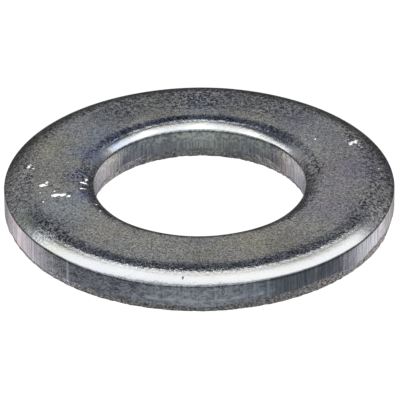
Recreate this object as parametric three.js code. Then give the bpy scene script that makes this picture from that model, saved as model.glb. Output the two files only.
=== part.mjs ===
// Flat washer for an M12 bolt: one ring of zinc-plated steel, punched out of strip in a single stroke.
// Millimetres, +Z up. The origin is the centre of the bolt hole on the underside, and +Z runs up the hole.
//
// The stroke gives both cut edges, the rim and the hole, the same kind of section. At the top face the
// metal was drawn down into a soft roll, which falls ever faster until it meets the cut wall at a
// corner. Under that corner the wall is smooth and upright. Near the underside the metal tore, and
// there the wall leans back into the ring.

import * as THREE from "three";

// Driving dimensions
const OUTER_DIAMETER = 24;
const HOLE_DIAMETER = 13;
const THICKNESS = 2.5;

// The two cut edges. side is +1 where the metal ends outwards and -1 where it ends inwards.
const RIM = {
  radius: OUTER_DIAMETER / 2,
  side: 1,
  rollHeight: 0.6,
  rollWidth: 1.9,
  tearHeight: 0.6,
  tearLean: 0.14,
};
const HOLE = {
  radius: HOLE_DIAMETER / 2,
  side: -1,
  rollHeight: 0.55,
  rollWidth: 1.2,
  tearHeight: 1,
  tearLean: 0.1,
};

// The power by which a roll falls away from the top face: 1 would be a straight bevel.
const ROLL_POWER = 2.2;

// Facets
const STEPS_AROUND = 128;
const STEPS_IN_ROLL = 7;

// One cut edge of the section, from the underside up to where its roll meets the top face.
function cutEdge({ radius, side, rollHeight, rollWidth, tearHeight, tearLean }) {
  const points = [
    new THREE.Vector2(radius - side * tearLean, 0),
    new THREE.Vector2(radius, tearHeight),
  ];
  for (let step = 0; step <= STEPS_IN_ROLL; step++) {
    const across = step / STEPS_IN_ROLL;
    const drop = rollHeight * (1 - across) ** ROLL_POWER;
    points.push(new THREE.Vector2(radius - side * rollWidth * across, THICKNESS - drop));
  }
  return points;
}

// The ring's section: up the rim, across the top face, down the hole, and back along the underside.
function ringSection() {
  const section = [...cutEdge(RIM), ...cutEdge(HOLE).reverse()];
  section.push(section[0].clone());
  return section;
}

// Satin zinc plate on steel
function zincPlatedSteel() {
  return new THREE.MeshStandardMaterial({
    name: "zinc_plated_steel",
    color: 0x9a9ca1,
    roughness: 0.38,
    metalness: 1,
  });
}

// The washer: its section turned about the hole's axis. A lathe turns about +Y, so the mesh is tipped
// to stand that axis up along +Z.
function makeWasher() {
  const washer = new THREE.Mesh(
    new THREE.LatheGeometry(ringSection(), STEPS_AROUND),
    zincPlatedSteel(),
  );
  washer.name = "washer";
  washer.rotation.x = Math.PI / 2;
  return washer;
}

const flatWasher = new THREE.Group();
flatWasher.name = "flat_washer";
flatWasher.add(makeWasher());

export default flatWasher;
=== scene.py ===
"""The looks of a flat washer: one ring of zinc-plated steel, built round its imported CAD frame.

The ring is punched, so its section follows what the punch left on each cut edge: a soft roll at the
top, a smooth wall under it, and a torn zone at the foot. Flat faces join the two edges. Marks from
handling are cut into the top face.

Lengths in the tables below are in millimetres, and bearings are in degrees from +X towards +Y.
"""

import math

import bmesh
import bpy
import numpy as np
from mathutils import Matrix, Vector, noise


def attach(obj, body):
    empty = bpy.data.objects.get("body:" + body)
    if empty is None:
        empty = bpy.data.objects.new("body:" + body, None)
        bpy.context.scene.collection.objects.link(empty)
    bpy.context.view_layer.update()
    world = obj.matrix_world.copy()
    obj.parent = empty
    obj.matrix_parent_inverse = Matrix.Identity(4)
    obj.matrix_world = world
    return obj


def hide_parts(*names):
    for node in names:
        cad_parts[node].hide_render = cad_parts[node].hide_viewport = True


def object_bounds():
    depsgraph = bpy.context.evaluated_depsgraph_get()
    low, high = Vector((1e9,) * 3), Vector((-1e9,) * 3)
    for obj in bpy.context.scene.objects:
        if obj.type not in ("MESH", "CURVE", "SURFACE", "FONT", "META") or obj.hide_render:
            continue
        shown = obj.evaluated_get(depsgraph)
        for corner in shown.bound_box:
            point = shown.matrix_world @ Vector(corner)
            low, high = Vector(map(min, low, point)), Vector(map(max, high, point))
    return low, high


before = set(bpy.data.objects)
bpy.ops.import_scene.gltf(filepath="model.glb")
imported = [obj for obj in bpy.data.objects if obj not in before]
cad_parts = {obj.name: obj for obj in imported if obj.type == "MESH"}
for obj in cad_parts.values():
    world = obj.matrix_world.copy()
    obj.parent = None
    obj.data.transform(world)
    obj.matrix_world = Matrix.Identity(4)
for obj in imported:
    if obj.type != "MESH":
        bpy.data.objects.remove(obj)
cad_low, cad_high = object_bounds()

MM = 0.001


def cad_hole_radius():
    """The CAD washer's hole radius in metres, read from its own vertices."""
    return min(math.hypot(v.co.x, v.co.y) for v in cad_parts["washer"].data.vertices)


# ---------------------------------------------------------------------------------------------
# Sizes of the section, in millimetres
# ---------------------------------------------------------------------------------------------

THICKNESS = (cad_high.z - cad_low.z) / MM

# side is +1 where the metal ends outwards and -1 where it ends inwards. tear_line gives the share of
# the thickness that tore, by bearing: the punch never sits quite true in its die, so it swings.
# Each edge has noise of its own: seed and the seeds after it shape its surfaces, and line_seed and
# every tenth seed after it shape its tear line.
RIM = {
    "radius": cad_high.x / MM,
    "side": 1,
    "roll_height": 0.6,
    "roll_width": 1.9,
    "lean": 0.14,
    "line_seed": 3,
    "seed": 5,
    "tear_line": (
        (20, 0.2),
        (90, 0.14),
        (160, 0.16),
        (200, 0.16),
        (215, 0.12),
        (240, 0.19),
        (262, 0.17),
        (272, 0.16),
        (290, 0.25),
        (302, 0.3),
        (314, 0.26),
        (320, 0.14),
        (332, 0.29),
        (350, 0.27),
    ),
}
HOLE = {
    "radius": cad_hole_radius() / MM,
    "side": -1,
    "roll_height": 0.55,
    "roll_width": 1.2,
    "lean": 0.1,
    "line_seed": 4,
    "seed": 6,
    "tear_line": (
        (0, 0.1),
        (35, 0.12),
        (48, 0.22),
        (62, 0.3),
        (92, 0.3),
        (122, 0.25),
        (150, 0.2),
        (170, 0.1),
    ),
}
# How far the hole sits towards +X from the middle of the rim
HOLE_OFF_CENTRE = 0.034

# The power by which a roll falls away from the top face
ROLL_POWER = 2.2

# Places round the ring, stations up a cut edge as shares of each zone's height or width, and
# stations across the two flat faces
STEPS_AROUND = 960
TEAR_STATIONS = (0, 0.1, 0.22, 0.35, 0.48, 0.61, 0.74, 0.86, 0.94)
WALL_STATIONS = (0, 0.08, 0.16, 0.22, 0.25, 0.28, 0.31, 0.34, 0.42, 0.6, 0.8, 0.92, 0.96, 0.99)
ROLL_STATIONS = (0, 0.02, 0.05, 0.1, 0.17, 0.25, 0.34, 0.44, 0.55, 0.67, 0.81, 1)
TOP_STATIONS = 9
UNDER_STATIONS = 5

# The softened corner between a wall and its roll
CORNER_HEIGHT = 0.14
CORNER_INSET = 0.04

# Swings round the ring: a lump's size in degrees, and how far it swings. The rolls swing by a share
# of their own height and width, and the tear line by a share of the thickness.
ROLL_HEIGHT_SWING = (40, 0.1)
ROLL_WIDTH_SWING = (30, 0.12)
TEAR_LINE_SWINGS = ((14, 0.03), (4, 0.045), (1.2, 0.02))
TEAR_LINE_LIMITS = (0.06, 0.6)
LINE_SEED_STEP = 10

# Relief in layers: a lump's size across and up, and its depth. The wall's lumps are tall, so they
# are faint waves that run straight up it.
WALL_WAVE = 0.004
WALL_LAYERS = ((0.9, 8, WALL_WAVE), (0.22, 5, WALL_WAVE / 2))
TEAR_STEP = 0.035
TEAR_LAYERS = ((0.32, 0.2, 0.035), (0.14, 0.12, 0.0175))
# The ragged foot of a torn zone, with lumps in degrees, and the faint swell of the top
FOOT_LUMP = 2.5
FOOT_HEIGHT = 0.05
FACE_LUMP = 1.6
FACE_WAVE = 0.004
FACE_SEED = 30


# ---------------------------------------------------------------------------------------------
# Marks, finish, and painted light and shade, place by place
# ---------------------------------------------------------------------------------------------

# Nicks from handling in the top face: bearing, radius, length, width and lie, where lie is the
# bearing that the mark runs along.
NICKS = (
    (173, 10.55, 0.36, 0.3, 5),
    (175, 10.26, 0.22, 0.2, 150),
    (186.5, 9.56, 0.58, 0.27, 0),
    (184.8, 9.36, 0.26, 0.26, 20),
    (191.9, 9.04, 0.16, 0.18, 0),
    (194.8, 9.02, 0.6, 0.29, 0),
    (195.4, 8.62, 0.5, 0.26, 175),
    (197.1, 8.34, 0.26, 0.22, 150),
    (181.2, 6.93, 0.2, 0.26, 0),
    (185.7, 7.11, 0.5, 0.13, 0),
    (191.8, 7.25, 0.42, 0.11, 2),
    (186.7, 10.15, 0.1, 0.2, 0),
    (188.8, 10.2, 0.1, 0.16, 0),
    (191.9, 9.9, 0.14, 0.14, 0),
    (198, 9.98, 0.13, 0.2, 0),
    (198.4, 10.24, 0.1, 0.14, 0),
    (207.7, 7.06, 0.14, 0.14, 0),
    (214.8, 7.3, 0.16, 0.14, 0),
    (22.1, 10.27, 0.5, 0.32, 15),
    (22.7, 10.6, 0.4, 0.3, 40),
    (20.0, 10.58, 0.14, 0.2, 0),
    (18.4, 10.62, 0.12, 0.14, 0),
    (31, 8.45, 0.16, 0.2, 0),
    (14.2, 9.75, 0.1, 0.12, 0),
    (4.5, 11.1, 0.12, 0.14, 0),
    (342, 9.5, 0.12, 0.14, 0),
)
# Small dark pits in the top face, as rows of the same kind
PITS = (
    (265, 11.5, 0.1, 0.12, 0),
    (24.2, 10.2, 0.6, 0.1, 20),
    (20.8, 10.8, 0.5, 0.12, 20),
    (19.4, 10.35, 0.3, 0.1, 10),
    (174, 10.75, 0.2, 0.14, 0),
    (187.6, 9.2, 0.3, 0.1, 0),
    (190.6, 8.8, 0.22, 0.14, 160),
    (194.8, 8.2, 0.2, 0.16, 0),
)
# Faint stains in the plating, and painted light and shade: lighter and darker patches on the top
# face, rolls lightened in places, roll highlights dimmed towards their ends, and painted shade
# along the front edge of the hole. Each row gives bearing, radius, size, and how much of red,
# green and blue it leaves
TINTS_AND_PAINTED_LIGHT = (
    (75, 10.2, 2.6, (0.56, 0.58, 0.62)),
    (105, 10.2, 2.6, (0.56, 0.58, 0.6)),
    (90, 11.4, 1.4, (0.7, 0.7, 0.74)),
    (90, 8.6, 1.4, (0.85, 0.93, 1.0)),
    (50, 9.6, 1.8, (0.66, 0.68, 0.77)),
    (125, 9.7, 1.8, (0.66, 0.68, 0.72)),
    (30, 9.3, 1.4, (0.88, 0.88, 0.92)),
    (140, 7.5, 1.4, (0.75, 0.88, 1.1)),
    (158, 7.3, 1.2, (0.62, 0.75, 1.05)),
    (180, 7.2, 0.9, (0.5, 0.6, 1.0)),
    (198, 7.3, 0.9, (0.65, 0.7, 1.0)),
    (158, 9.8, 1.8, (1.05, 1.03, 0.88)),
    (207, 8.8, 2.0, (1.08, 1.18, 1.26)),
    (250, 8.2, 2.2, (1.16, 1.15, 1.0)),
    (290, 8.0, 2.2, (1.14, 1.13, 1.0)),
    (270, 9.8, 1.4, (0.9, 0.9, 0.84)),
    (300, 9.8, 1.6, (0.76, 0.75, 0.73)),
    (335, 8.6, 2.2, (1.0, 0.96, 1.12)),
    (0, 9.0, 2.0, (1.04, 1.0, 1.12)),
    (5, 10.4, 2.0, (0.82, 0.8, 0.96)),
    (30, 7.7, 1.2, (1.2, 1.22, 1.26)),
    (60, 7.1, 0.9, (1.5, 1.5, 1.45)),
    (90, 7.1, 1.0, (1.5, 1.5, 1.45)),
    (120, 7.1, 0.9, (1.5, 1.5, 1.45)),
    (30, 11.7, 1.2, (1.5, 1.4, 1.35)),
    (180, 11.6, 1.2, (1.4, 1.38, 1.4)),
    (205, 11.7, 1.4, (0.62, 0.66, 0.6)),
    (222, 11.6, 1.2, (0.9, 0.9, 0.8)),
    (211, 11.3, 1.1, (0.55, 0.58, 0.58)),
    (331, 11.3, 1.2, (0.55, 0.55, 0.58)),
    (213, 6.8, 0.8, (0.35, 0.35, 0.4)),
    (240, 6.9, 0.8, (0.4, 0.4, 0.42)),
    (270, 6.9, 0.8, (0.4, 0.4, 0.38)),
    (300, 6.9, 0.8, (0.35, 0.35, 0.34)),
    (327, 6.9, 0.8, (0.5, 0.5, 0.5)),
)
# Where the plating is coarser, or finer below 0, which also sets where the dark specks of painted
# reflection and the light specks of painted glint show: bearing, radius, size and how much coarser
COARSE_AND_PAINTED_SPECKS = (
    (90, 9.6, 3.0, 1.0),
    (60, 9.8, 2.8, 0.8),
    (120, 9.8, 2.8, 0.8),
    (20, 10.4, 2.0, 0.4),
    (0, 10.6, 2.4, 0.45),
    (340, 10.4, 2.2, 0.5),
    (180, 10.0, 2.0, 0.4),
    (180, 7.4, 1.2, 0.8),
    (215, 10.6, 1.6, 0.8),
    (5, 7.2, 1.0, 1.0),
    (30, 11.4, 1.3, 0.7),
    (50, 11.6, 1.2, 0.5),
    (130, 11.6, 1.2, 0.5),
    (150, 11.4, 1.3, 0.6),
    (225, 7.2, 0.7, 0.5),
    (255, 7.2, 0.7, 0.5),
    (285, 7.2, 0.7, 0.5),
    (315, 7.2, 0.7, 0.6),
    (340, 7.2, 0.8, 0.6),
    (65, 7.1, 1.2, -0.5),
    (90, 7.0, 1.2, -0.6),
    (115, 7.1, 1.2, -0.4),
)
# Painted reflections on the smooth walls: how much of red, green and blue they give back, by
# bearing, lighter where a wall would mirror a lit table and darker where it would mirror shade
RIM_PAINTED_REFLECTIONS = (
    (180, (0.7, 0.6, 0.58)),
    (192, (0.85, 0.72, 0.7)),
    (198, (1.12, 0.94, 0.9)),
    (204, (1.05, 0.92, 0.88)),
    (210, (0.85, 0.78, 0.76)),
    (216, (0.62, 0.61, 0.6)),
    (223, (0.58, 0.58, 0.56)),
    (230, (0.7, 0.67, 0.67)),
    (252, (0.82, 0.79, 0.8)),
    (258, (1.1, 1.1, 1.06)),
    (270, (1.24, 1.2, 1.18)),
    (283, (0.95, 0.95, 0.96)),
    (289, (0.8, 0.83, 0.85)),
    (293, (0.46, 0.49, 0.5)),
    (314, (0.5, 0.48, 0.49)),
    (321, (0.62, 0.63, 0.63)),
    (326, (0.8, 0.82, 0.81)),
    (336, (1.13, 1.1, 1.03)),
    (345, (1.12, 1.0, 0.88)),
    (0, (0.9, 0.82, 0.75)),
    (90, (1.0, 1.0, 1.0)),
)
# The same painted reflections for the hole's wall, by bearing
HOLE_PAINTED_REFLECTIONS = (
    (0, (1.1, 1.04, 1.0)),
    (10, (1.05, 1.0, 1.0)),
    (20, (0.72, 0.69, 0.68)),
    (32, (0.62, 0.58, 0.57)),
    (36, (0.72, 0.63, 0.55)),
    (39, (0.6, 0.55, 0.53)),
    (41, (0.74, 0.66, 0.6)),
    (44, (0.62, 0.58, 0.6)),
    (50, (1.2, 1.15, 1.0)),
    (60, (1.0, 1.0, 0.95)),
    (72, (1.2, 1.17, 1.0)),
    (82, (1.6, 1.55, 1.35)),
    (92, (1.6, 1.55, 1.35)),
    (105, (1.25, 1.2, 1.1)),
    (130, (1.0, 0.98, 1.02)),
    (140, (0.72, 0.72, 0.68)),
    (150, (0.72, 0.68, 0.62)),
    (160, (0.78, 0.74, 0.77)),
    (172, (1.1, 1.04, 1.0)),
    (270, (1.0, 1.0, 1.0)),
)
# Painted shade low in the hole: its wall is darker low down, by how much, and between which heights
# that fades out.
BORE_PAINTED_SHADE = 0.25
BORE_PAINTED_SHADE_HEIGHTS = (0.8, 1.6)
# Between which heights in the hole the golden specks set in
SPECK_HEIGHTS = (0.8, 1.5)
# Where the corner of a roll is polished: the rim's at the front and the hole's at the back, between
# these sines of the bearing
POLISH_SINES = (0.2, 0.6)
# How fast a stain, a patch of painted light or shade, or a coarse and speckled area fades outside
# its size
PATCH_FALL = 1.4

# Where the rim's wall was scuffed sideways, by bearing
RIM_SCUFFS = (
    (214, 0),
    (224, 1),
    (251, 1),
    (257, 0.7),
    (287, 0.6),
    (292, 0.2),
    (315, 0.1),
    (318, 0),
)
# Where the punch left a lip low on the rim's wall, a painted highlight runs along it, on the front
# only. Its height, width and wave are shares of the wall's height, and a core above 1 keeps its
# middle evenly bright. Gaps break it up.
RIM_LIP_HIGHLIGHT = ((246, 0), (254, 1), (289, 1), (293, 0))
LIP_HEIGHT = 0.28
LIP_WIDTH = 0.07
LIP_CORE = 1.3
LIP_WAVE = 0.06
LIP_WAVE_LUMP = 5
LIP_WAVE_SEED = 8
LIP_FILL = 0.75
LIP_GAPS = 1.4
LIP_GAP_LUMP = 2
LIP_GAP_SEED = 9
# Upright scratches down the rim's wall: bearing and how bright. Each fades out over SCRATCH_REACH
# degrees on either side.
RIM_SCRATCHES = (
    (208, 0.12),
    (213, 0.2),
    (217.5, 0.12),
    (222.5, 0.1),
    (228.7, 1.0),
    (279, 0.3),
    (283, 0.4),
    (285.5, 0.3),
    (289.8, 0.55),
    (298, 0.15),
    (305.5, 0.2),
    (309, 0.12),
    (316.3, 0.45),
)
SCRATCH_REACH = 0.5
# How much of the torn finish the hole's torn zone has, by bearing, and how much of that is gone at
# its top
HOLE_TORN = ((0, 0.15), (32, 0.2), (50, 0.85), (125, 0.85), (150, 0.4), (165, 0.15))
HOLE_TORN_FADE = 0.75

# The shape of a mark. MARK_SIZE scales the lengths and widths in the tables, MARK_CORE above 1 gives
# a flat middle, and the bend is a share of the width over MARK_TURN radians of the length.
MARK_SIZE = 0.95
MARK_SLOPE = 0.6
MARK_CORE = 1.5
MARK_BEND = 0.25
MARK_TURN = 5
MARK_RAGGED = 0.6
MARK_LUMP = 0.09
MARK_SEED = 31
# Faces are divided near the marks, within this share of a mark's length plus its width. Faces and
# points count as the top down to these shares of the roll's height.
MARK_CUTS = 3
DIVIDE_REACH = 0.62
DIVIDE_DOWN_TO = 0.9
SINK_DOWN_TO = 0.95


# ---------------------------------------------------------------------------------------------
# Fields over the ring
# ---------------------------------------------------------------------------------------------

# How far apart the noises of two neighbouring seeds are, in lumps
SEED_STRIDE = 17.3


def field(x, y, z, seed):
    """Perlin noise at each point of three arrays, which are already divided by the size of a lump."""
    shape = np.broadcast(x, y, z).shape
    columns = (np.broadcast_to(a, shape).ravel() for a in (x, y, z))
    offset = SEED_STRIDE * seed
    values = [noise.noise((a + offset, b - offset, c + offset)) for a, b, c in zip(*columns)]
    return np.array(values).reshape(shape)


def around_field(ring, lump, seed):
    """Noise round the ring that joins up with itself. lump is a lump's size in degrees."""
    reach = 180 / math.pi / lump
    return field(np.cos(ring) * reach, np.sin(ring) * reach, 0.0, seed)


def edge_relief(edge, ring, height, layers, seed):
    """The sum of some layers of relief on a cut edge, in millimetres."""
    x, y = edge["radius"] * np.cos(ring), edge["radius"] * np.sin(ring)
    return sum(
        depth * field(x / across, y / across, height / up, seed + layer)
        for layer, (across, up, depth) in enumerate(layers)
    )


def smooth_step(low, high, value):
    share = np.clip((value - low) / (high - low), 0, 1)
    return share * share * (3 - 2 * share)


def by_bearing(ring, rows):
    """Values from rows of bearing and value, joined by straight lines all the way round."""
    bearings, values = zip(*rows)
    return np.interp(np.degrees(ring), bearings, values, period=360)


# ---------------------------------------------------------------------------------------------
# The ring's section. ring is a column of angles round the ring, and each station is a column too.
# ---------------------------------------------------------------------------------------------


def tear_line(edge, ring):
    """Height above the underside at which the smooth wall ends, at each place round the ring."""
    ragged = sum(
        swing * around_field(ring, lump, edge["line_seed"] + LINE_SEED_STEP * layer)
        for layer, (lump, swing) in enumerate(TEAR_LINE_SWINGS)
    )
    return THICKNESS * np.clip(by_bearing(ring, edge["tear_line"]) + ragged, *TEAR_LINE_LIMITS)


def torn_zone(edge, ring, line):
    """Radius and height of the torn zone.

    It leans into the ring, with a step under the smooth wall and a ragged foot.
    """
    up = np.array(TEAR_STATIONS)[None, :]
    foot = FOOT_HEIGHT * np.clip(around_field(ring, FOOT_LUMP, edge["seed"] + 2), 0, 1)
    height = foot + (line - foot) * up
    inset = TEAR_STEP + edge["lean"] * (1 - up)
    relief = edge_relief(edge, ring, height, TEAR_LAYERS, edge["seed"] + 3)
    return edge["radius"] - edge["side"] * np.clip(inset + relief, 0.0, None), height


def smooth_wall(edge, ring, line, top):
    """Radius and height of the upright wall, which curves in at its softened corner with the roll."""
    up = np.array(WALL_STATIONS)[None, :]
    height = line + (top - line) * up
    waves = edge_relief(edge, ring, height, WALL_LAYERS, edge["seed"] + 5)
    near_top = np.clip(1 - (top - height) / CORNER_HEIGHT, 0, 1)
    inset = WALL_WAVE + waves + CORNER_INSET * near_top**2
    return edge["radius"] - edge["side"] * inset, height


def soft_roll(edge, roll_height, roll_width):
    """Radius and height of the roll, which falls away from the top face ever faster."""
    across = np.array(ROLL_STATIONS)[None, :]
    start = WALL_WAVE + CORNER_INSET
    inset = start + (roll_width - start) * across
    return edge["radius"] - edge["side"] * inset, THICKNESS - roll_height * (1 - across) ** ROLL_POWER


def rim_lip_highlight_and_scratches(ring):
    """How bright the rim's wall is made, from 0 to 1: a broken painted highlight low down, and upright
    scratches.
    """
    up = np.array(WALL_STATIONS)[None, :]
    middle = LIP_HEIGHT + LIP_WAVE * around_field(ring, LIP_WAVE_LUMP, LIP_WAVE_SEED)
    gaps = around_field(ring, LIP_GAP_LUMP, LIP_GAP_SEED)
    lip_highlight_and_scratches = np.clip(LIP_CORE - np.abs(up - middle) / LIP_WIDTH, 0, 1)
    lip_highlight_and_scratches = lip_highlight_and_scratches * by_bearing(ring, RIM_LIP_HIGHLIGHT) * np.clip(LIP_FILL + LIP_GAPS * gaps, 0, 1)
    for bearing, strength in RIM_SCRATCHES:
        away = np.abs(np.degrees(ring) - bearing) / SCRATCH_REACH
        lip_highlight_and_scratches = np.maximum(lip_highlight_and_scratches, strength * np.clip(1 - away, 0, 1))
    return lip_highlight_and_scratches


def hole_torn(ring):
    """How much of the torn finish the hole's torn zone has, from 0 to 1."""
    up = np.array(TEAR_STATIONS)[None, :]
    return by_bearing(ring, HOLE_TORN) * (1 - HOLE_TORN_FADE * up**2)


def cut_edge(edge, ring):
    """One cut edge as columns of stations, from the underside up to where its roll meets the top.

    Returns its radius and height, the attributes that the material reads, and shift, which is 1
    where the section moves with the hole. Each array has a row for each place round the ring.
    """
    rim = edge["side"] > 0
    height_lump, height_swing = ROLL_HEIGHT_SWING
    width_lump, width_swing = ROLL_WIDTH_SWING
    height_field = around_field(ring, height_lump, edge["seed"])
    width_field = around_field(ring, width_lump, edge["seed"] + 1)
    roll_height = edge["roll_height"] * (1 + height_swing * height_field)
    roll_width = edge["roll_width"] * (1 + width_swing * width_field)

    line = tear_line(edge, ring)
    tear_radius, tear_height = torn_zone(edge, ring, line)
    wall_radius, wall_height = smooth_wall(edge, ring, line, THICKNESS - roll_height)
    roll_radius, roll_heights = soft_roll(edge, roll_height, roll_width)

    def zones(*values):
        """Joins the torn zone's, the wall's and the roll's values, each an array or one number."""
        counts = (len(TEAR_STATIONS), len(WALL_STATIONS), len(ROLL_STATIONS))
        pairs = zip(values, counts)
        return np.hstack([np.broadcast_to(value, (len(ring), count)) for value, count in pairs])

    in_hole = 0.0 if rim else 1.0
    return {
        "radius": zones(tear_radius, wall_radius, roll_radius),
        "height": zones(tear_height, wall_height, roll_heights),
        "wall": zones(1.0, 1.0, 0.0),
        "tear": zones(1.0 if rim else hole_torn(ring), 0.0, 0.0),
        "lip_highlight_and_scratches": zones(0.0, rim_lip_highlight_and_scratches(ring) if rim else 0.0, 0.0),
        "roll": zones(0.0, 1.0, 1 - np.array(ROLL_STATIONS)[None, :]),
        "bore": zones(in_hole, in_hole, in_hole),
        "shift": zones(in_hole, in_hole, in_hole),
    }


def flat_face(start, end, shifts, height, stations):
    """Stations between two columns of radii on a flat face, without the two ends themselves.

    shifts says how far the start and the end move with the hole.
    """
    radius = start + (end - start) * np.linspace(0, 1, stations + 2)[None, 1:-1]
    blank = np.zeros_like(radius)
    shift = blank + np.linspace(*shifts, stations + 2)[None, 1:-1]
    flat = {name: blank for name in ("wall", "tear", "lip_highlight_and_scratches", "roll", "bore")}
    return {"radius": radius, "height": blank + height, "shift": shift} | flat


def ring_section(ring):
    """The whole closed section: rim, top face, hole and underside, in that order round the metal."""
    rim = cut_edge(RIM, ring)
    hole = {name: values[:, ::-1] for name, values in cut_edge(HOLE, ring).items()}
    rim_radius, hole_radius = rim["radius"], hole["radius"]
    top = flat_face(rim_radius[:, -1:], hole_radius[:, :1], (0, 1), THICKNESS, TOP_STATIONS)
    under = flat_face(hole_radius[:, -1:], rim_radius[:, :1], (1, 0), 0.0, UNDER_STATIONS)
    parts = (rim, top, hole, under)
    return {name: np.hstack([part[name] for part in parts]) for name in rim}


# ---------------------------------------------------------------------------------------------
# The mesh
# ---------------------------------------------------------------------------------------------


def read_points(mesh):
    """The mesh's vertices as rows of x, y and z in metres."""
    co = np.zeros(len(mesh.vertices) * 3, np.float32)
    mesh.vertices.foreach_get("co", co)
    return co.reshape(-1, 3).astype(float)


def read_attribute(mesh, name):
    values = np.zeros(len(mesh.vertices), np.float32)
    mesh.attributes[name].data.foreach_get("value", values)
    return values


def write_attribute(mesh, name, values):
    attribute = mesh.attributes.new(name, "FLOAT", "POINT")
    attribute.data.foreach_set("value", np.asarray(values, np.float32).ravel())


def ring_faces(rows, columns):
    """Quads of a grid that closes on itself both ways, facing outwards."""
    row, column = np.meshgrid(np.arange(rows), np.arange(columns), indexing="ij")
    next_row, next_column = (row + 1) % rows, (column + 1) % columns
    corners = (
        row * columns + column,
        next_row * columns + column,
        next_row * columns + next_column,
        row * columns + next_column,
    )
    return np.stack([c.ravel() for c in corners], axis=1)


def polar(bearing, radius):
    """The x and y of a place that a table gives by bearing and radius."""
    turn = math.radians(bearing)
    return radius * math.cos(turn), radius * math.sin(turn)


def divide_near_marks(mesh):
    """Divides the faces round each nick and pit, so that its cut is real geometry."""
    bm = bmesh.new()
    bm.from_mesh(mesh)
    places = [
        (*polar(bearing, radius), DIVIDE_REACH * length + width)
        for bearing, radius, length, width, _ in NICKS + PITS
    ]
    near = []
    for face in bm.faces:
        centre = face.calc_center_median() / MM
        if centre.z < THICKNESS - RIM["roll_height"] * DIVIDE_DOWN_TO:
            continue
        if any(math.hypot(centre.x - x, centre.y - y) < reach for x, y, reach in places):
            near.append(face)
    edges = list({edge for face in near for edge in face.edges})
    bmesh.ops.subdivide_edges(bm, edges=edges, cuts=MARK_CUTS, use_grid_fill=True)
    bm.to_mesh(mesh)
    bm.free()


def mark_masks(x, y, marks):
    """How far each point of the top lies in one of the marks, from 0 to 1, and how deep it is there.

    A mark drops away at its front edge and climbs slowly towards the back.
    """
    mask = np.zeros_like(x)
    depth = np.zeros_like(x)
    ragged = field(x / MARK_LUMP, y / MARK_LUMP, 0.0, MARK_SEED)
    for bearing, radius, length, width, lie in marks:
        length, width = length * MARK_SIZE, width * MARK_SIZE
        mark_x, mark_y = polar(bearing, radius)
        dx, dy = x - mark_x, y - mark_y
        cos, sin = math.cos(math.radians(lie)), math.sin(math.radians(lie))
        along = dx * cos + dy * sin
        across = -dx * sin + dy * cos
        bend = MARK_BEND * width * np.sin(along * MARK_TURN / length)
        reach = (2 * along / length) ** 4 + (2 * (across - bend) / width) ** 2
        here = np.clip(MARK_CORE * np.exp(-reach) * (1 + MARK_RAGGED * ragged), 0, 1)
        mask = np.maximum(mask, here)
        span = math.hypot(length * sin, width * cos)
        depth = np.maximum(depth, here * np.clip(0.5 - dy / span, 0, 1) * span * MARK_SLOPE)
    return mask, depth


def cut_marks(mesh):
    """Sinks the marks into the top face and writes the attributes nick and pit for the material."""
    points = read_points(mesh)
    top = points[:, 2] / MM > THICKNESS - RIM["roll_height"] * SINK_DOWN_TO
    x, y = points[top, 0] / MM, points[top, 1] / MM
    for name, marks in (("nick", NICKS), ("pit", PITS)):
        mask, depth = np.zeros(len(points)), np.zeros(len(points))
        mask[top], depth[top] = mark_masks(x, y, marks)
        points[:, 2] -= MM * depth
        write_attribute(mesh, name, mask)
    mesh.vertices.foreach_set("co", points.astype(np.float32).ravel())


def paint_tints_and_light(mesh):
    """Writes what the plating is like at each point: its colour, with stains, painted light and shade
    and painted reflections, and its coarseness, polish and scuffs.
    """
    x, y, z = read_points(mesh).T / MM
    around = np.arctan2(y, x)
    wall, bore = read_attribute(mesh, "wall"), read_attribute(mesh, "bore")
    rim_wall, hole_wall = wall * (1 - bore), wall * bore

    def near(bearing, radius, size):
        place_x, place_y = polar(bearing, radius)
        away = (x - place_x) ** 2 + (y - place_y) ** 2
        return np.exp(-PATCH_FALL * away / size**2)

    colour = np.ones((len(x), 4))
    # Stains, and patches of painted light and shade, multiplied into the colour
    for bearing, radius, size, left in TINTS_AND_PAINTED_LIGHT:
        colour[:, :3] *= 1 + near(bearing, radius, size)[:, None] * (np.array(left) - 1)
    # Painted reflections: the walls take their colour by bearing
    for rows, share in ((RIM_PAINTED_REFLECTIONS, rim_wall), (HOLE_PAINTED_REFLECTIONS, hole_wall)):
        for channel in range(3):
            shade = by_bearing(around, [(bearing, rgb[channel]) for bearing, rgb in rows])
            colour[:, channel] += share * (shade - colour[:, channel])
    # Painted shade low on the hole's wall
    low_down = 1 - smooth_step(*BORE_PAINTED_SHADE_HEIGHTS, z)
    colour[:, :3] *= 1 - BORE_PAINTED_SHADE * (hole_wall * low_down)[:, None]
    # This colour holds stains, painted light and shade, and painted reflections on the walls
    attribute = mesh.attributes.new("tint_and_painted_light", "FLOAT_COLOR", "POINT")
    attribute.data.foreach_set("color", colour.astype(np.float32).ravel())

    coarse_and_painted_specks = sum(more * near(bearing, radius, size) for bearing, radius, size, more in COARSE_AND_PAINTED_SPECKS)
    write_attribute(mesh, "coarse_and_painted_specks", np.clip(coarse_and_painted_specks, -1, 1))
    write_attribute(mesh, "scuff", by_bearing(around, RIM_SCUFFS) * rim_wall)
    write_attribute(mesh, "specks", smooth_step(*SPECK_HEIGHTS, z) * hole_wall)
    near_hole = np.hypot(x, y) < (RIM["radius"] + HOLE["radius"]) / 2
    facing = np.sin(around) * np.where(near_hole, 1, -1)
    write_attribute(mesh, "polish", smooth_step(*POLISH_SINES, facing))


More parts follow.
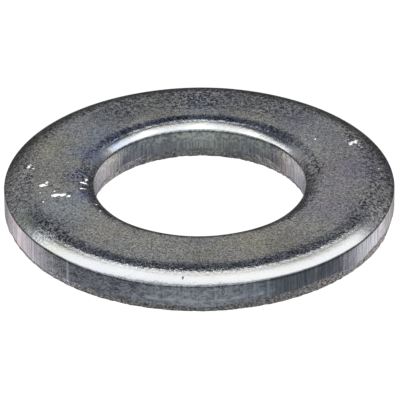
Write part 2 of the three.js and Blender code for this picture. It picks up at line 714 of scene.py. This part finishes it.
def make_washer():
    """The ring as one mesh, with the attributes that its material reads."""
    ring = np.linspace(0, 2 * math.pi, STEPS_AROUND, endpoint=False)[:, None]
    section = ring_section(ring)
    radius, height = section["radius"], section["height"]
    x = radius * np.cos(ring) + HOLE_OFF_CENTRE * section["shift"]
    y = radius * np.sin(ring)
    upper = height > THICKNESS / 2
    level = field(x / FACE_LUMP, y / FACE_LUMP, 0.0, FACE_SEED) * (1 - section["wall"])
    z = height + FACE_WAVE * (level - 1) * upper
    points = np.stack([x, y, z], axis=-1).reshape(-1, 3) * MM
    mesh = bpy.data.meshes.new("washer_ring")
    mesh.from_pydata(points.tolist(), [], ring_faces(*radius.shape).tolist())
    for name in ("wall", "tear", "lip_highlight_and_scratches", "roll", "bore"):
        write_attribute(mesh, name, section[name])
    divide_near_marks(mesh)
    cut_marks(mesh)
    paint_tints_and_light(mesh)
    mesh.polygons.foreach_set("use_smooth", [True] * len(mesh.polygons))
    mesh.update()
    washer = bpy.data.objects.new("washer_ring", mesh)
    bpy.context.scene.collection.objects.link(washer)
    return washer


# ---------------------------------------------------------------------------------------------
# Materials
# ---------------------------------------------------------------------------------------------

# Colours of the plate: the top face
COOL_ZINC = (0.56, 0.58, 0.62, 1)
WARM_ZINC = (0.62, 0.615, 0.58, 1)
CLOUDED_ZINC = (0.49, 0.49, 0.53, 1)
ROLLED_ZINC = (0.53, 0.54, 0.56, 1)
GOLDEN_SHEEN = (1.04, 1.01, 0.93, 1)
BLUE_SHEEN = (0.97, 0.99, 1.07, 1)
# Specks that stand in for light: dark ones paint the dark room mirrored by the grain, light ones paint
# glints
PAINTED_DARK_REFLECTION = (0.05, 0.06, 0.10, 1)
PAINTED_GLINT = (0.95, 0.96, 0.98, 1)

# The smooth walls: drawn streaks with stains, the rim's scuffs and the specks high in the hole
STREAK_DARK = (0.34, 0.36, 0.4, 1)
STREAK_LIGHT = (0.7, 0.71, 0.74, 1)
WALL_STAIN = (0.36, 0.37, 0.42, 1)
SCUFF_DARK = (0.2, 0.21, 0.22, 1)
SCUFF_LIGHT = (0.86, 0.88, 0.92, 1)
SPECKLE_DARK = (0.24, 0.31, 0.36, 1)
SPECKLE_LIGHT = (0.76, 0.79, 0.78, 1)
SPECKLE_GOLD = (0.66, 0.6, 0.34, 1)
# Colour of the painted highlight along the rim's lip, and of the bright scratches
SCRATCH_AND_LIP_HIGHLIGHT = (0.95, 0.96, 0.98, 1)

# The torn zone and the marks
TORN_DARK = (0.16, 0.14, 0.13, 1)
TORN_LIGHT = (0.74, 0.68, 0.63, 1)
TORN_FLAKE = (0.97, 0.95, 0.92, 1)
PIT_COLOUR = (0.1, 0.1, 0.11, 1)
BARE_NICK = (0.97, 0.98, 0.99, 1)

# Roughness, with a low and a high end where it varies
FACE_ROUGHNESS = (0.18, 0.28)
ROLL_ROUGHNESS = 0.12
WALL_ROUGHNESS = (0.14, 0.24)
TORN_ROUGHNESS = 0.45
NICK_ROUGHNESS = 0.27

# Relief in millimetres: what a feature has everywhere, and what it gains or loses in places
DIMPLES = 0.014
DIMPLES_ON_ROLL = 0.016
DIMPLES_ON_CORNER = -0.006
DIMPLES_WHERE_COARSE = 0.01
GRIT = 0.009
GRIT_ON_CORNER = -0.005
GRIT_WHERE_COARSE = 0.01
FINE_GRIT = 0.003
STREAKS = 0.012
CRUMBS = 0.06


class Nodes:
    """A short way to write a node tree: each call makes a node and returns one of its outputs."""

    def __init__(self, tree):
        self.tree = tree
        tree.nodes.clear()

    def add(self, kind, inputs=(), output=0, **settings):
        node = self.tree.nodes.new(kind)
        for name, value in settings.items():
            setattr(node, name, value)
        for key, value in dict(inputs).items():
            socket = node.inputs[key]
            if isinstance(value, bpy.types.NodeSocket):
                self.tree.links.new(value, socket)
            else:
                socket.default_value = value
        return node.outputs[output] if node.outputs else None

    def math(self, operation, a, b=0.0):
        return self.add("ShaderNodeMath", {0: a, 1: b}, operation=operation)

    def sum(self, *terms):
        """The sum of value times weight over pairs."""
        total = 0.0
        for value, weight in terms:
            inputs = {0: value, 1: weight, 2: total}
            total = self.add("ShaderNodeMath", inputs, operation="MULTIPLY_ADD")
        return total

    def vector(self, operation, a, b=(0, 0, 0)):
        return self.add("ShaderNodeVectorMath", {0: a, 1: b}, operation=operation)

    def attribute(self, name):
        return self.add("ShaderNodeAttribute", output="Fac", attribute_name=name)

    def noise(self, place, lump, detail=2.0, roughness=0.5, distortion=0.0):
        """Noise whose lumps are about as wide as lump, in millimetres."""
        shape = {"Detail": detail, "Roughness": roughness, "Distortion": distortion}
        inputs = {"Vector": place, "Scale": 1 / (lump * MM)} | shape
        return self.add("ShaderNodeTexNoise", inputs, output="Fac")

    def ramp(self, value, low, high, to_low=0.0, to_high=1.0):
        """A smooth change from to_low to to_high, while value goes from low to high."""
        inputs = {"Value": value, "From Min": low, "From Max": high}
        inputs |= {"To Min": to_low, "To Max": to_high}
        return self.add("ShaderNodeMapRange", inputs, interpolation_type="SMOOTHSTEP")

    def mix(self, factor, a, b, blend="MIX"):
        """Mixes two colours, which are the node's inputs 6 and 7 and its output 2."""
        inputs = {0: factor, 6: a, 7: b}
        return self.add("ShaderNodeMix", inputs, output=2, data_type="RGBA", blend_type=blend)

    def mix_value(self, factor, a, b):
        return self.add("ShaderNodeMix", {0: factor, 2: a, 3: b}, output=0, data_type="FLOAT")


def zinc_plate():
    """Satin zinc plate on punched steel."""
    material = bpy.data.materials.new("zinc_plated_steel")
    material.use_nodes = True
    n = Nodes(material.node_tree)
    here = n.add("ShaderNodeTexCoord", output="Object")
    upright = n.vector("MULTIPLY", here, (1, 1, 0.05))
    sideways = n.vector("MULTIPLY", here, (1, 1, 1.8))

    # Where things are: the mesh's attributes, and what follows from them. shoulder is a whole roll,
    # corner is its polished corner with the wall, and the speckle mask is where dark specks of painted
    # reflection show.
    wall, tear, lip_highlight_and_scratches, roll, nick = map(n.attribute, ("wall", "tear", "lip_highlight_and_scratches", "roll", "nick"))
    pit, coarse_and_painted_specks, scuff = map(n.attribute, ("pit", "coarse_and_painted_specks", "scuff"))
    specks, polish = map(n.attribute, ("specks", "polish"))
    # Stains, painted light and shade, and painted reflections, as written on the mesh
    tint_and_painted_light = n.add("ShaderNodeAttribute", output="Color", attribute_name="tint_and_painted_light")
    shoulder = n.ramp(roll, 0.0, 0.22)
    corner = n.math("MULTIPLY", n.ramp(roll, 0.5, 0.66), polish)
    rough_roll = n.math("MULTIPLY", shoulder, n.mix_value(corner, 1.0, 0.0))
    dark_reflection_speckle = n.ramp(n.sum((rough_roll, 0.6), (coarse_and_painted_specks, 1.0)), 0.0, 1.0)
    coarser_and_glints = n.math("MAXIMUM", coarse_and_painted_specks, 0.0)

    # Noises, from the finest to the widest
    fine = n.noise(here, 0.09, 2.0, 0.6)
    streak = n.noise(upright, 0.11, 3.0, 0.65)
    grain = n.noise(here, 0.12, 2.0, 0.65, 1.6)
    crumble = n.noise(here, 0.15, 3.0, 0.7)
    clump = n.noise(here, 0.17, 2.0, 0.6, 0.8)
    fleck = n.noise(here, 0.21, 2.0, 0.6)
    dimple = n.noise(here, 0.26, 2.0, 0.55)
    scuffs = n.noise(sideways, 0.32, 3.0, 0.65, 1.2)
    stain = n.noise(here, 1.1, 3.0, 0.6)
    cloud = n.noise(here, 2.6, 3.0, 0.55)
    hue = n.noise(here, 4.0, 2.0, 0.5)

    # Colour of the faces and rolls: zinc with faint passivation tints and grain, times the stains and
    # painted light and shade written on the mesh, with dark specks of painted reflection and light
    # specks of painted glint. The grain is weak on a polished corner.
    zinc = n.mix(n.ramp(hue, 0.42, 0.6), COOL_ZINC, WARM_ZINC)
    zinc = n.mix(n.ramp(cloud, 0.42, 0.68, 0.0, 0.5), zinc, CLOUDED_ZINC)
    zinc = n.mix(n.math("MULTIPLY", shoulder, 0.7), zinc, ROLLED_ZINC)
    # Times the stains and the painted light and shade
    zinc = n.mix(1.0, zinc, tint_and_painted_light, "MULTIPLY")
    darkest, lightest = n.mix_value(corner, 0.3, 0.96), n.mix_value(corner, 1.7, 1.03)
    zinc = n.mix(1.0, zinc, n.ramp(grain, 0.36, 0.64, darkest, lightest), "MULTIPLY")
    sheen = n.mix(n.ramp(fleck, 0.4, 0.6), GOLDEN_SHEEN, BLUE_SHEEN)
    zinc = n.mix(n.mix_value(corner, 1.0, 0.2), zinc, n.mix(1.0, zinc, sheen, "MULTIPLY"))
    # Dark specks of painted reflection, then light specks of painted glint
    painted_dark_reflections = n.math("MULTIPLY", n.ramp(clump, 0.44, 0.5, 0.95, 0.0), dark_reflection_speckle)
    zinc = n.mix(painted_dark_reflections, zinc, PAINTED_DARK_REFLECTION)
    painted_glints = n.math("MULTIPLY", n.ramp(clump, 0.53, 0.58, 0.0, 0.75), coarser_and_glints)
    zinc = n.mix(painted_glints, zinc, PAINTED_GLINT)

    # Colour of the smooth walls: upright streaks and stains, scuffs on the rim, specks in the hole
    burnish = n.mix(n.ramp(streak, 0.38, 0.62), STREAK_DARK, STREAK_LIGHT)
    burnish = n.mix(n.ramp(stain, 0.5, 0.66, 0.0, 0.6), burnish, WALL_STAIN)
    scuffed = n.mix(n.ramp(scuffs, 0.4, 0.6), SCUFF_DARK, SCUFF_LIGHT)
    burnish = n.mix(n.math("MULTIPLY", scuff, 0.8), burnish, scuffed)
    speckle = n.mix(n.ramp(fleck, 0.4, 0.6), SPECKLE_DARK, SPECKLE_LIGHT)
    speckle = n.mix(n.ramp(clump, 0.54, 0.64, 0.0, 0.75), speckle, SPECKLE_GOLD)
    burnish = n.mix(n.math("MULTIPLY", specks, 0.8), burnish, speckle)
    # Times the painted reflections by bearing, the painted shade low in the hole, and stains
    burnish = n.mix(1.0, burnish, tint_and_painted_light, "MULTIPLY")

    # Colour of the torn zone: brown crumbs with bright flakes
    torn = n.mix(n.ramp(crumble, 0.38, 0.66), TORN_DARK, TORN_LIGHT)
    torn = n.mix(n.ramp(clump, 0.56, 0.62, 0.0, 0.6), torn, TORN_FLAKE)

    colour = n.mix(wall, zinc, burnish)
    # Torn zone, then the painted lip highlight with the bright scratches, then pits and nicks
    for place, layer in ((tear, torn), (lip_highlight_and_scratches, SCRATCH_AND_LIP_HIGHLIGHT), (pit, PIT_COLOUR), (nick, BARE_NICK)):
        colour = n.mix(place, colour, layer)

    roughness = n.mix_value(shoulder, n.ramp(dimple, 0.3, 0.7, *FACE_ROUGHNESS), ROLL_ROUGHNESS)
    roughness = n.mix_value(wall, roughness, n.ramp(streak, 0.3, 0.7, *WALL_ROUGHNESS))
    roughness = n.mix_value(tear, roughness, TORN_ROUGHNESS)
    roughness = n.mix_value(nick, roughness, NICK_ROUGHNESS)

    # Relief, as heights in millimetres
    rolled = n.mix_value(corner, n.math("MULTIPLY", shoulder, DIMPLES_ON_ROLL), DIMPLES_ON_CORNER)
    deep = n.sum((rolled, 1.0), (coarser_and_glints, DIMPLES_WHERE_COARSE), (1.0, DIMPLES))
    gritty = n.sum((coarser_and_glints, GRIT_WHERE_COARSE), (corner, GRIT_ON_CORNER), (1.0, GRIT))
    dimples = n.math("MULTIPLY", dimple, deep)
    grit = n.math("MULTIPLY", grain, gritty)
    streaks = n.math("MULTIPLY", streak, wall)
    crumbs = n.math("MULTIPLY", crumble, tear)
    height = n.sum((dimples, 1.0), (grit, 1.0), (fine, FINE_GRIT), (streaks, STREAKS), (crumbs, CRUMBS))
    bump = {"Strength": 1.0, "Distance": MM, "Height": height}
    normal = n.add("ShaderNodeBump", bump, output="Normal")

    surface = n.add(
        "ShaderNodeBsdfPrincipled",
        {"Base Color": colour, "Metallic": 1.0, "Roughness": roughness, "Normal": normal},
    )
    n.add("ShaderNodeOutputMaterial", {"Surface": surface})
    return material


def glowing(name, colour, strength):
    """A material that only gives out light."""
    material = bpy.data.materials.new(name)
    material.use_nodes = True
    n = Nodes(material.node_tree)
    surface = n.add("ShaderNodeEmission", {"Color": colour, "Strength": strength})
    n.add("ShaderNodeOutputMaterial", {"Surface": surface})
    return material


# ---------------------------------------------------------------------------------------------
# Stage, light and camera
# ---------------------------------------------------------------------------------------------

WHITE = (1.0, 1.0, 1.0, 1)

# The floor's half width is in metres.
FLOOR_HALF = 1.2
FLOOR_STRENGTH = 1.05

# The soft box hangs over the washer like a wide horseshoe, open at the back. Each ring gives its
# half widths in x and y, and the arc is the part of the ellipses that the sheet covers, in degrees.
# The border lies between the first two rings and the sheet between the last two.
SOFTBOX_HEIGHT = 46.5
SOFTBOX_CENTRE = (-2.5, 74)
SOFTBOX_RINGS = ((56, 72), (62, 79), (104, 96))
SOFTBOX_ARC = (-150, -32)
SOFTBOX_STEPS = 96
SOFTBOX_BORDER = ((1.0, 0.99, 0.93, 1), 1.1)
SOFTBOX_SHEET = (WHITE, 1.65)

# What the washer mirrors besides the soft box: the sky from the horizon to overhead and behind the
# camera, and the table it stands on, in shade, in light and far off
HORIZON = (0.06, 0.06, 0.06, 1)
MIDDLE_SKY = (0.40, 0.395, 0.385, 1)
OVERHEAD = (0.085, 0.095, 0.13, 1)
BEHIND_CAMERA = (0.42, 0.47, 0.52, 1)
SHADED_TABLE = (0.28, 0.30, 0.33, 1)
LIT_TABLE = (1.06, 1.02, 1.07, 1)
FAR_TABLE = (0.08, 0.075, 0.07, 1)

# Elevation and roll in degrees, and the rest in millimetres. The aim is a little off the washer's
# middle, to the right and down.
CAMERA_ELEVATION = 30.52
CAMERA_ROLL = -0.345
CAMERA_DISTANCE = 285
CAMERA_LENS = 417
CAMERA_SENSOR = 36
AIM_RIGHT = 0.04
AIM_DOWN = 0.48
# What is nearer or further than this isn't drawn, in metres.
CAMERA_CLIP = (0.01, 10)


def make_floor():
    """A plain pale floor, lit from below like a light table, so that nothing casts a shadow on it.

    The metal doesn't mirror it, because the world already holds the table that it mirrors.
    """
    half = FLOOR_HALF
    mesh = bpy.data.meshes.new("floor")
    corners = [(-half, -half, 0), (half, -half, 0), (half, half, 0), (-half, half, 0)]
    mesh.from_pydata(corners, [], [(0, 1, 2, 3)])
    mesh.materials.append(glowing("pale_floor", WHITE, FLOOR_STRENGTH))
    floor = bpy.data.objects.new("floor", mesh)
    floor.location.z = cad_low.z
    bpy.context.scene.collection.objects.link(floor)
    floor.visible_glossy = False


def make_softbox():
    """The overhead soft box: a bright sheet with a dimmer border along its inner edge."""
    mesh = bpy.data.meshes.new("softbox")
    first, last = SOFTBOX_ARC
    row = SOFTBOX_STEPS + 1
    arc = [math.radians(first + (last - first) * i / SOFTBOX_STEPS) for i in range(row)]
    points = [
        (half_x * math.cos(angle) * MM, half_y * math.sin(angle) * MM, 0)
        for half_x, half_y in SOFTBOX_RINGS
        for angle in arc
    ]
    bands = len(SOFTBOX_RINGS) - 1
    corners = [band * row + i for band in range(bands) for i in range(SOFTBOX_STEPS)]
    mesh.from_pydata(points, [], [(c, c + 1, c + row + 1, c + row) for c in corners])
    mesh.materials.append(glowing("softbox_border", *SOFTBOX_BORDER))
    mesh.materials.append(glowing("softbox_sheet", *SOFTBOX_SHEET))
    for index, polygon in enumerate(mesh.polygons):
        polygon.material_index = index // SOFTBOX_STEPS
    softbox = bpy.data.objects.new("softbox", mesh)
    softbox.location = Vector((*SOFTBOX_CENTRE, SOFTBOX_HEIGHT)) * MM
    bpy.context.scene.collection.objects.link(softbox)
    softbox.visible_camera = False
    softbox.visible_shadow = False


def make_world():
    """The dim studio round the washer, and the table under it, lit only at the back on both sides."""
    world = bpy.data.worlds.new("studio")
    bpy.context.scene.world = world
    world.use_nodes = True
    n = Nodes(world.node_tree)
    way = n.add("ShaderNodeTexCoord", output="Generated")
    x, y, z = n.add("ShaderNodeSeparateXYZ", {0: way}).node.outputs
    aside = n.math("ABSOLUTE", x)
    low_sky = n.mix(n.ramp(z, 0.05, 0.47), HORIZON, MIDDLE_SKY)
    sky = n.mix(n.ramp(z, 0.56, 0.74), low_sky, OVERHEAD)
    sky = n.mix(n.ramp(y, -0.1, 0.05), BEHIND_CAMERA, sky)
    lit = n.math("MULTIPLY", n.ramp(y, 0.09, 0.16), n.ramp(aside, 0.36, 0.58))
    table = n.mix(lit, SHADED_TABLE, LIT_TABLE)
    table = n.mix(n.ramp(z, -0.4, -0.3), table, FAR_TABLE)
    room = n.mix(n.ramp(z, -0.02, 0.02), table, sky)
    pale = n.add("ShaderNodeLightPath", output="Is Camera Ray")
    light = n.mix(pale, room, WHITE)
    surface = n.add("ShaderNodeBackground", {"Color": light, "Strength": 1.0})
    n.add("ShaderNodeOutputWorld", {"Surface": surface})


def make_camera():
    """The camera, in front of the washer and above it."""
    data = bpy.data.cameras.new("camera")
    camera = bpy.data.objects.new("camera", data)
    bpy.context.scene.collection.objects.link(camera)
    data.lens = CAMERA_LENS
    data.sensor_width = CAMERA_SENSOR
    data.clip_start, data.clip_end = CAMERA_CLIP
    centre = (cad_low + cad_high) / 2
    rise = math.radians(CAMERA_ELEVATION)
    back = Vector((0, -math.cos(rise), math.sin(rise)))
    up = Vector((0, math.sin(rise), math.cos(rise)))
    place = centre + back * CAMERA_DISTANCE * MM
    aim = centre + Vector((AIM_RIGHT, 0, 0)) * MM - up * AIM_DOWN * MM
    turn = (aim - place).to_track_quat("-Z", "Y").to_matrix().to_4x4()
    roll = Matrix.Rotation(math.radians(CAMERA_ROLL), 4, "Z")
    camera.matrix_world = Matrix.Translation(place) @ turn @ roll
    bpy.context.scene.camera = camera


bpy.context.scene.view_settings.view_transform = "Standard"

washer = make_washer()
washer.data.materials.append(zinc_plate())
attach(washer, "root")
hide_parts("washer")
make_floor()
make_softbox()
make_world()
make_camera()
